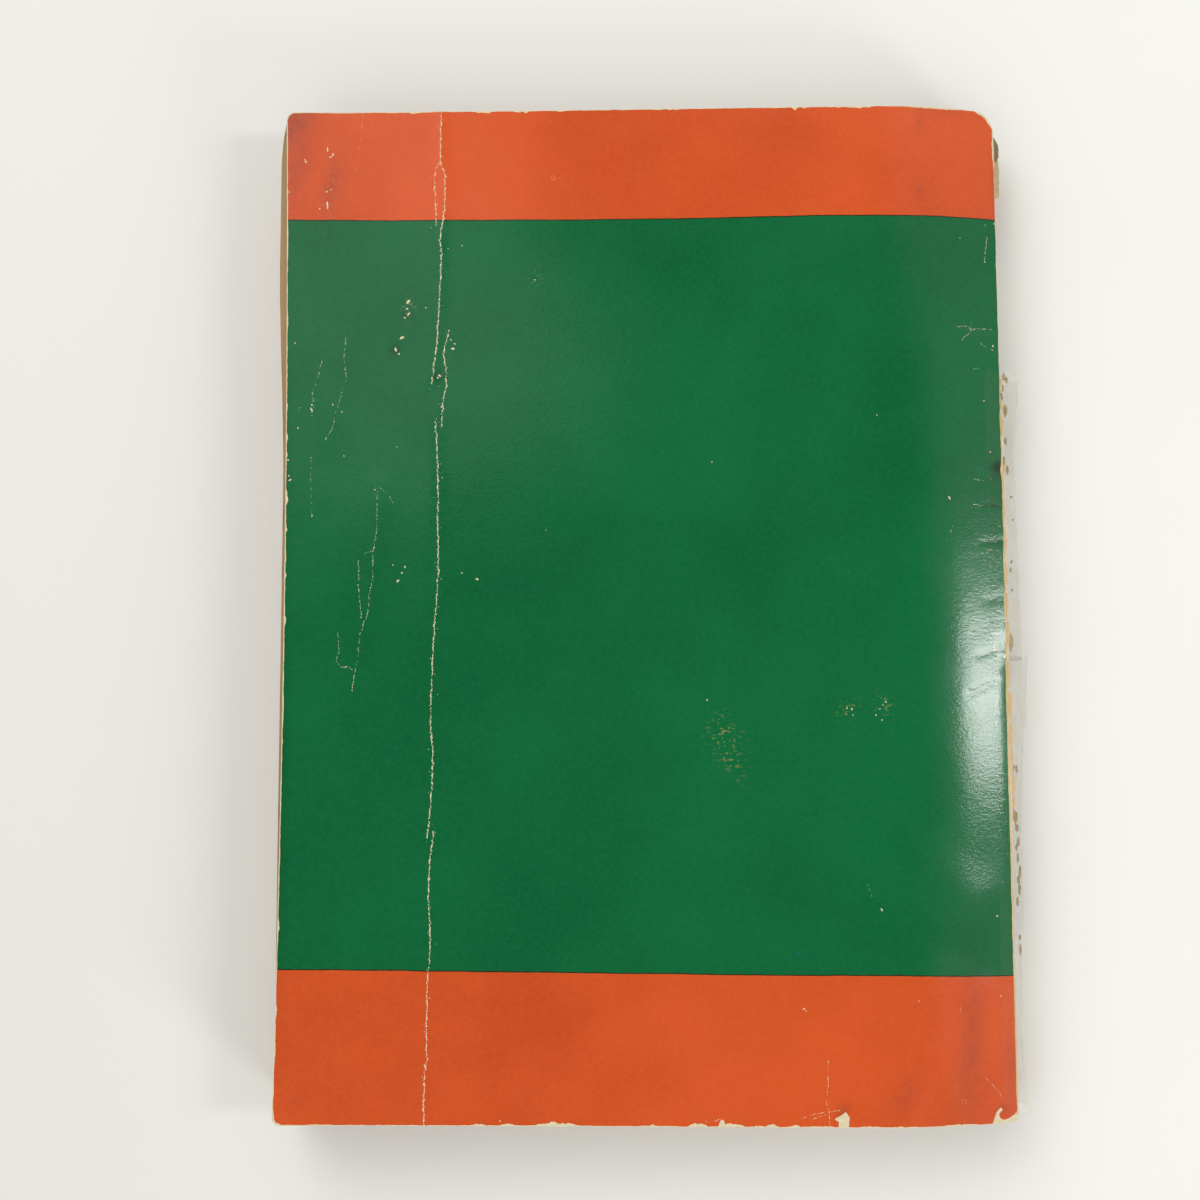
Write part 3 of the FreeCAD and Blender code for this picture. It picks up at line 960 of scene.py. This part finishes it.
def make_back_cover():
    outline = cover_outline(0.3)
    nibble = [0.02 + 0.05 * max(0, waver(x * 0.9, y * 0.9, 31)) for x, y in outline]
    outline = [tuple(p) for p in shrunk(outline, nibble)]
    print_loop = [tuple(p) for p in shrunk(outline, print_edge(outline, True, 11))]
    lower, upper = on_cover_all(tail_band_edge), on_cover_all(head_band_edge)
    green_loops = [field_loop(lower, upper, 21), field_loop(lower, upper, 21, 0.20)]
    yellow = [loop for u, v, size in yellow_rings for loop in ring_of_beads(u, v, size, int(u))]
    marks = [(BARE, bare_loops()), (YELLOW, yellow), (BLUE, ring_of_beads(*blue_ring, 3))]
    seams = [tape_seam(tape, inset) for tape in tapes for inset in (0.0, 0.08)]
    fine_from = spine_x - 9.5
    piece = card("back_cover_card", outline, print_loop, green_loops, marks, seams, roof, relief, fine_from)
    places = np.empty(len(piece.data.vertices) * 3)
    piece.data.vertices.foreach_get("co", places)
    places = places.reshape(-1, 3)[:, :2] / MM
    taped = inside(places, tape_seam(tapes[0], 0.04)) | inside(places, tape_seam(tapes[1], 0.04))
    mark_points(piece, "taped", taped)
    # Where stains and painted shade darken the print
    mark_points(piece, "grime_and_shade", softness(*places.T, stains_and_shade))
    mark_points(piece, "scuff", softness(*places.T, scuffs))
    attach(piece, "back_cover")
    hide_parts("back_cover")


def make_front_cover():
    outline = cover_outline(0.6)
    print_loop = [tuple(p) for p in shrunk(outline, print_edge(outline, False, 51))]
    lower = [(fore_x - 2, -63.3), (0, -63.5), (spine_x + 2, -63.9)]
    upper = [(fore_x - 2, 68.8), (0, 68.8), (spine_x + 2, 69.1)]
    green_loops = [field_loop(lower, upper, 23), field_loop(lower, upper, 23, 0.20)]
    piece = card("front_cover_card", outline, print_loop, green_loops, [], [], sole, plain, None)
    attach(piece, "front_cover")
    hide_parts("front_cover")


# The leaves

leaf_corner = 1.1
leaf_corner_length = 9.5
spine_corner = 1.4
leaf_count = 96
short_leaf_share = 0.06
brown_border = 9.0


def leaf_outline(step):
    """Points round the block of leaves, counter-clockwise from the tail's fore corner."""
    half = head_y - leaf_margin
    edge_x = spine_x - leaf_setback
    tail_x, head_x = fore_x - tail_stand, fore_x - head_stand
    fan_to = half - fan_start
    fan_from = fan_to - fan_length
    points = line_points((tail_x, -half), (edge_x, -half), step)
    points += line_points((edge_x, -half), (edge_x, half - spine_corner), 3 * step)
    points += line_points((edge_x, half - spine_corner), (edge_x - spine_corner, half), step)
    points += line_points((edge_x - spine_corner, half), (head_x + leaf_corner, half), step)
    for _, y in line_points((head_x, half), (tail_x, -half), step):
        share = min(1.0, max(0.0, (y - fan_from) / (fan_to - fan_from)))
        share = share * share * (3 - 2 * share)
        worn = max(0.0, 1 - (half - y) / leaf_corner_length)
        points.append((tail_x + (head_x - tail_x) * share + leaf_corner * worn**2, y))
    return points


def browning(x, y):
    """How brown the first and last page are at a place: towards the three free edges."""
    inward = min(x - fore_x, spine_x - x + 8, head_y - abs(y))
    return min(1.0, max(0.0, 1 - inward / brown_border) ** 1.5)


def make_leaves():
    outline = np.array(leaf_outline(2.0))
    normals = outward(outline)
    x = outline[:, 0]
    at_spine = x > spine_x - leaf_setback - 0.01
    bottom, top = sole(x, leaf_depth), roof(x, leaf_depth)
    middle, half = (top + bottom) / 2, (top - bottom) / 2
    chance = random.Random(12)
    rings = []
    for leaf in range(leaf_count):
        recess = 0.08 * chance.random() + 0.06 * (0.5 + 0.5 * waver(leaf * 0.13, 0.4, 61))
        if chance.random() < short_leaf_share:
            recess += chance.uniform(0.1, 0.35)
        drift = np.array([0.05 * waver(leaf * 0.11, i * 0.045, 62) + 0.05 for i in range(len(outline))])
        for share, extra in ((0.0, 0.10), (0.22, 0.0), (0.82, 0.0)):
            z = bottom + (top - bottom) * (leaf + share) / leaf_count
            bow = np.where(at_spine, leaf_bow * (1 - ((z - middle) / half) ** 2), 0.0)
            inset = np.where(at_spine, 0.0, recess + extra + drift)
            rings.append((outline - normals * inset[:, None], z, bow))
    rings.append((rings[-1][0] - normals * 0.05, top, np.zeros(len(outline))))
    points, faces, kinds = [], [], []
    count = len(outline)
    for ring, z, bow in rings:
        points += [(a + c, b, h) for (a, b), h, c in zip(ring, z, bow)]
    for level in range(len(rings) - 1):
        low, high = level * count, (level + 1) * count
        for i in range(count):
            j = (i + 1) % count
            faces.append((low + i, low + j, high + j, high + i))
            kinds.append(0)
    toning = [browning(x, y) for x, y, _ in points]
    for first, line, lift in ((0, sole, 1), ((len(rings) - 1) * count, roof, -1)):
        edge = [points[first + i][:2] for i in range(count)]
        flat, caps = triangles(edge, [], 3.0, 8)
        lookup = {tuple(np.round(p, 5)): first + i for i, p in enumerate(edge)}
        index = []
        for p in flat:
            key = tuple(np.round(p, 5))
            if key not in lookup:
                lookup[key] = len(points)
                wave = 0.05 + 0.05 * waver(p[0] / 20, p[1] / 20, 64)
                points.append((p[0], p[1], float(line(p[0], leaf_depth)) + lift * wave))
                toning.append(browning(p[0], p[1]))
            index.append(lookup[key])
        for f in caps:
            face = tuple(index[i] for i in f)
            faces.append(face[::-1] if lift > 0 else face)
            kinds.append(1)
    piece = new_piece("leaves", points, faces, kinds, [leaf_material(), page_face_material()])
    mark_points(piece, "toning", toning)
    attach(piece, "text_block")
    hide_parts("page_block")


# The spine

strip_x = strip_low.x
strip_top, strip_bottom = strip_high.z, strip_low.z
strip_middle = (strip_top + strip_bottom) / 2
strip_half = (strip_top - strip_bottom) / 2
strip_head_wear = 1.2
strip_green = (-63.4, 68.9)  # the stretch of the strip that was printed green


def strip_bow(y, z):
    """How far the strip over the spine bows out, as in the solids."""
    bow = float(np.interp(y, (-86.0, -29.0, 35.0, 53.0), (0.9, 1.7, 1.9, 0.78)))
    return bow * max(0.0, 1 - ((z - strip_middle) / strip_half) ** 2) ** 0.9


def make_spine_strip():
    rows, columns = 360, 22

    def place(face, row, column):
        y = strip_low.y + (strip_high.y - strip_low.y) * row / rows
        z = strip_bottom + 2 * strip_half * column / columns
        rag = 0.10 * waver(y * 0.8, column * 0.2, 71) + 0.05 * waver(y * 2.7, z * 2.5, 72)
        x = strip_x + strip_bow(y, z) + (card_thick + rag - 0.12 if face else 0.05 + rag * 0.3)
        if column in (0, columns):
            edge = 0.12 * waver(y * 1.1, 4.0 + column, 73) + 0.06 * waver(y * 3.1, 2.0, 74)
            z += abs(edge) if column == 0 else -abs(edge)
        if row in (0, rows):
            ragged = (strip_head_wear if row else 0.0) + 0.7 * abs(waver(column * 0.35, row, 75))
            ragged += 0.3 * abs(waver(column * 1.2, row, 76))
            y += ragged if row == 0 else -ragged
        return x, y, z

    piece = new_sheet("spine_strip", rows, columns, place, spine_material(*strip_green))
    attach(piece, "text_block")
    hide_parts("spine_cover")


# Spots of glue and torn fibres on the strip, read from the photograph: pixel, half length and
# half width

glue_spots = [
    (1003.5, 377, 4, 2.2), (1006.5, 380, 4, 1.4), (1002.5, 388, 4, 1.2), (1001.5, 397, 5, 1.0),
    (1005, 411, 7, 2.6), (1005.7, 441, 4.5, 1.6), (1004, 461, 5, 1.2), (1007.5, 470, 5, 1.2),
    (1011.5, 562, 2, 1.0), (1010.5, 570, 2.5, 0.8), (1011, 642, 9, 2.6), (1013, 767, 4.5, 1.8),
    (1016.5, 769, 5, 0.9), (1015.5, 817, 8, 2.4), (1017, 828, 4, 2.0), (1018, 842, 5, 1.3),
    (1016.5, 848, 3, 1.0), (1018, 858, 5, 1.0), (1020, 872, 6, 1.4), (1018.5, 880, 4, 1.6),
    (1019.5, 889, 6, 1.5), (1017.5, 901, 5, 1.2), (1020, 937, 3, 1.0), (1020.6, 950, 5.5, 1.2),
    (1011, 497, 1.5, 0.8), (1013, 520, 1.2, 0.6), (1012, 590, 1.5, 0.7),
]
flap_low, flap_high = 73.6, 85.4
flap_reach = 1.4
flap_glue = (80.4, 84.9)
fibres = [
    (1002.5, 484, 10, 1.6), (1003.5, 510, 14, 1.8), (1004.5, 540, 16, 2.2), (1005.5, 575, 16, 2.2),
    (1006.5, 605, 14, 2.0), (1007.5, 632, 12, 2.4), (1008.5, 675, 14, 2.2), (1010, 705, 14, 2.4),
    (1011, 735, 14, 2.0), (1012, 760, 12, 1.6), (1013, 785, 12, 2.0), (1013.5, 803, 9, 1.4),
    (1001.5, 405, 8, 1.2), (1002, 425, 10, 1.2), (1004.5, 465, 9, 1.0), (1000.8, 385, 8, 1.0),
]


def on_strip(u, v):
    """The place on the strip over the spine that shows at a pixel."""
    aim = ray(u, v)
    z = strip_top
    place = camera_place + aim * ((z - camera_place.z) / aim.z)
    while z > strip_middle and place.x > strip_x + card_thick + strip_bow(place.y, z):
        z -= 0.05
        place = camera_place + aim * ((z - camera_place.z) / aim.z)
    return place


def lump(centre, along, across, thick, seed):
    """An irregular flat lump lying on the strip, longer along the spine, as points and faces."""
    chance = random.Random(seed)
    rings, around = 6, 12
    profile = [chance.uniform(0.7, 1.2) for _ in range(around)]
    points, faces = [], []
    for ring in range(1, rings):
        lift = thick * math.cos(math.pi * ring / rings)
        girth = math.sin(math.pi * ring / rings)
        for step in range(around):
            turn = 2 * math.pi * step / around
            out = 0.7 * across * math.sin(turn) * girth * profile[step]
            y = centre.y + along * math.cos(turn) * girth * profile[step]
            points.append((centre.x + out + lift, y, centre.z - out + lift))
    for ring in range(rings - 2):
        for step in range(around):
            a, b = ring * around + step, ring * around + (step + 1) % around
            faces.append((a, b, b + around, a + around))
    faces.append(tuple(range(around))[::-1])
    faces.append(tuple(range((rings - 2) * around, (rings - 1) * around)))
    return points, faces


def make_lumps(name, spots, thick, widen, look):
    points, faces = [], []
    for number, (u, v, half_length, half_width) in enumerate(spots):
        size = (half_length * pixel_mm, widen * half_width * pixel_mm)
        made, quads = lump(on_strip(u, v), *size, thick, 500 + number)
        faces += [tuple(i + len(points) for i in quad) for quad in quads]
        points += made
    return new_piece(name, points, faces, materials=[look], smooth_angle=60)


def head_flap():
    """The torn end of the strip that curls out beside the cover at the head, with glue on it."""
    rows, columns = 48, 8
    glued = []

    def place(face, row, column):
        y = flap_low + (flap_high - flap_low) * row / rows
        taper = min(1.0, (y - flap_low) / 0.8, (flap_high - y) / 1.6)
        reach = 0.25 + flap_reach * max(0.0, taper) ** 0.5 * (0.9 + 0.2 * waver(y * 0.9, 2.0, 83))
        share = column / columns
        x = spine_x - 0.25 + reach * share + 0.12 * (1 - face)
        z = strip_top - 0.05 - 1.3 * share**2 + 0.08 * waver(y * 2.0, share * 2, 84)
        glued.append(float(flap_glue[0] < y < flap_glue[1] and 0.3 < share < 0.9))
        return x, y, z

    cream = paper_material("flap_card", (0.60, 0.48, 0.29), (0.46, 0.34, 0.18), (0.13, 0.09, 0.03), 0.6)
    piece = new_sheet("head_flap", rows, columns, place, cream)
    mark_points(piece, "taped", glued)
    return piece


def make_glue():
    """The layer on the leaves' spine edge, and what came away with the strip."""
    rows, columns = 180, 14
    middle, half = (glue_low.z + glue_high.z) / 2, (glue_high.z - glue_low.z) / 2

    def place(face, row, column):
        y = glue_low.y + (glue_high.y - spine_corner - glue_low.y) * row / rows
        z = glue_low.z + 2 * half * column / columns
        share = 1 - ((z - middle) / half) ** 2
        lumpy = 0.07 * waver(y * 0.5, z * 0.6, 81) - 0.07
        x = glue_high.x - glue_thick - leaf_bow * 0.8 * (1 - share)
        return x + (glue_thick + lumpy if face else 0.0), y, z

    look = glue_material()
    layer = new_sheet("glue_layer", rows, columns, place, look)
    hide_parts("spine_glue")
    spots = make_lumps("glue_spots", glue_spots, 0.13, 1.8, look)
    gold = (0.78, 0.55, 0.26)
    golden = paper_material("golden_fibre", gold, (0.66, 0.42, 0.17), gold, 0.5)
    threads = make_lumps("torn_fibres", fibres, 0.09, 2.1, golden)
    flap = head_flap()
    for piece, slot in ((layer, "glue"), (spots, "glue"), (threads, "spine_card"), (flap, "spine_card")):
        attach(piece, "text_block")


# The tapes' shape


def tape_point(tape, y, share, lift):
    """A point of a tape: share runs from 0 on the back cover to 1 under the front cover.

    Gives x, the height over plain covers, and how far the point follows the worn back cover."""
    if share <= card_share:
        near = share / card_share
        x = spine_x - (spine_x - tape_line(tape, y)) * (1 - near)
        return x, float(roof(x)) + lift, 1.0
    if share >= 1 - card_share:
        x = spine_x - (spine_x - tape_line(tape, y)) * (share - 1 + card_share) / card_share
        return x, float(sole(x, -lift)), 0.0
    top, bottom = float(roof(spine_x)) + lift, float(sole(spine_x, -lift))
    turn = math.pi / 2 - math.pi * (share - card_share) / (1 - 2 * card_share)
    bulge = float(np.interp(y, *tape.bulges)) + lift
    z = (top + bottom) / 2 + (top - bottom) / 2 * math.sin(turn)
    return spine_x + bulge * math.cos(turn), z, (1 + math.sin(turn)) / 2


def tape_half(name, tape, from_share, to_share, looks):
    rows, columns = 130, 28
    start, end = tape.bulges[0][0], tape.bulges[0][-1]
    points, hold = [], []
    for face in (0, 1):
        for row in range(rows + 1):
            for column in range(columns + 1):
                share = from_share + (to_share - from_share) * column / columns
                y = start + (end - start) * row / rows
                if row in (0, rows):
                    y += 0.25 * waver(share * 5, tape.seed, tape.seed) * (1 if row else -1)
                loose = min(1.0, max(0.0, (share - card_share) / (1 - 2 * card_share)))
                wrinkle = 0.16 * waver(y * 0.35, share * 6, tape.seed) - 0.16
                wrinkle += 0.06 * waver(y * 1.3, share * 12, tape.seed + 1)
                x, z, held = tape_point(tape, y, share, tape.lift + tape_thick * (1 - face))
                points.append((x + wrinkle * math.sin(math.pi * loose), y, z))
                hold.append(held)
    points = np.array(points)
    points[:, 2] += np.array(hold) * relief(np.minimum(points[:, 0], spine_x), points[:, 1])
    piece = new_piece(name, points, sheet_faces(rows, columns), materials=looks, smooth_angle=50)
    for polygon in piece.data.polygons:
        polygon.material_index = int(polygon.center.x < spine_x * MM)
    return piece


def make_tapes():
    looks = [tape_material(), tape_on_card_material()]
    back_line, front_line = float(roof(spine_x)), float(sole(spine_x))
    for tape in tapes:
        over = tape_half(tape.name + "_over_back", tape, 0.0, 0.5, looks)
        under = tape_half(tape.name + "_under_front", tape, 0.5, 1.0, looks)
        for piece, cover, line in ((over, "back_cover", back_line), (under, "front_cover", front_line)):
            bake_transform(piece)
            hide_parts(tape.name)


# The table, the lights and the camera


def make_floor():
    size = 1500.0
    points = [(-size, -size, 0), (size, -size, 0), (size, size, 0), (-size, size, 0)]
    floor = new_piece("floor", points, [(0, 1, 2, 3)], materials=[floor_material()])


def area_light(name, place, size, energy):
    """A lamp that faces the middle of the book."""
    data = bpy.data.lights.new(name, "AREA")
    data.shape = "RECTANGLE"
    data.size, data.size_y = [s * MM for s in size]
    data.energy = energy
    lamp = bpy.data.objects.new(name, data)
    bpy.context.scene.collection.objects.link(lamp)
    lamp.location = Vector(place) * MM
    lamp.rotation_euler = (Vector((0, 0, 8)) - Vector(place)).to_track_quat("-Z", "Y").to_euler()


room_strength = 1.38
room_shades = [  # axis of the direction, from, to, and the strength at each
    ("Z", 0.15, 0.55, 0.35, 1.0),
    ("Z", 0.82, 0.90, 1.0, 0.03),
    ("X", 0.15, 0.45, 1.0, 0.28),
    ("Y", -0.7, 0.7, 0.95, 1.08),
]
lamps = [  # name, place, size and power
    ("window", (783, -16, 702), (130, 290), 2.1),
    ("head_window", (-350, 560, 450), (500, 500), 1.9),
    ("low_lamp", (620, -640, 330), (260, 260), 2.6),
    ("ceiling", (-300, 480, 1400), (400, 500), 0.4),
]


def make_world():
    """Light from all round, but little from straight above, where the camera is held."""
    world = bpy.data.worlds.new("room")
    bpy.context.scene.world = world
    world.use_nodes = True
    tree = world.node_tree
    place = node(tree, "ShaderNodeTexCoord").outputs["Generated"]
    parts = node(tree, "ShaderNodeSeparateXYZ", {"Vector": place}).outputs
    strength = room_strength
    for axis, start, end, at_start, at_end in room_shades:
        strength = times(tree, strength, spread(tree, parts[axis], start, end, at_start, at_end))
    background = tree.nodes["Background"]
    background.inputs["Color"].default_value = (1.0, 0.99, 0.96, 1)
    tree.links.new(strength, background.inputs["Strength"])


def make_camera():
    data = bpy.data.cameras.new("camera")
    data.sensor_width = sensor_mm
    data.lens = sensor_mm * focal_pixels / frame_pixels
    data.clip_start = 0.01
    camera = bpy.data.objects.new("camera", data)
    camera.location = camera_place * MM
    camera.rotation_euler = camera_turn
    bpy.context.scene.collection.objects.link(camera)
    bpy.context.scene.camera = camera
    bpy.context.scene.view_settings.view_transform = "Standard"


make_back_cover()
make_front_cover()
make_leaves()
make_spine_strip()
make_glue()
make_tapes()
make_floor()
make_world()
for name, place, size, power in lamps:
    area_light(name, place, size, power)
make_camera()
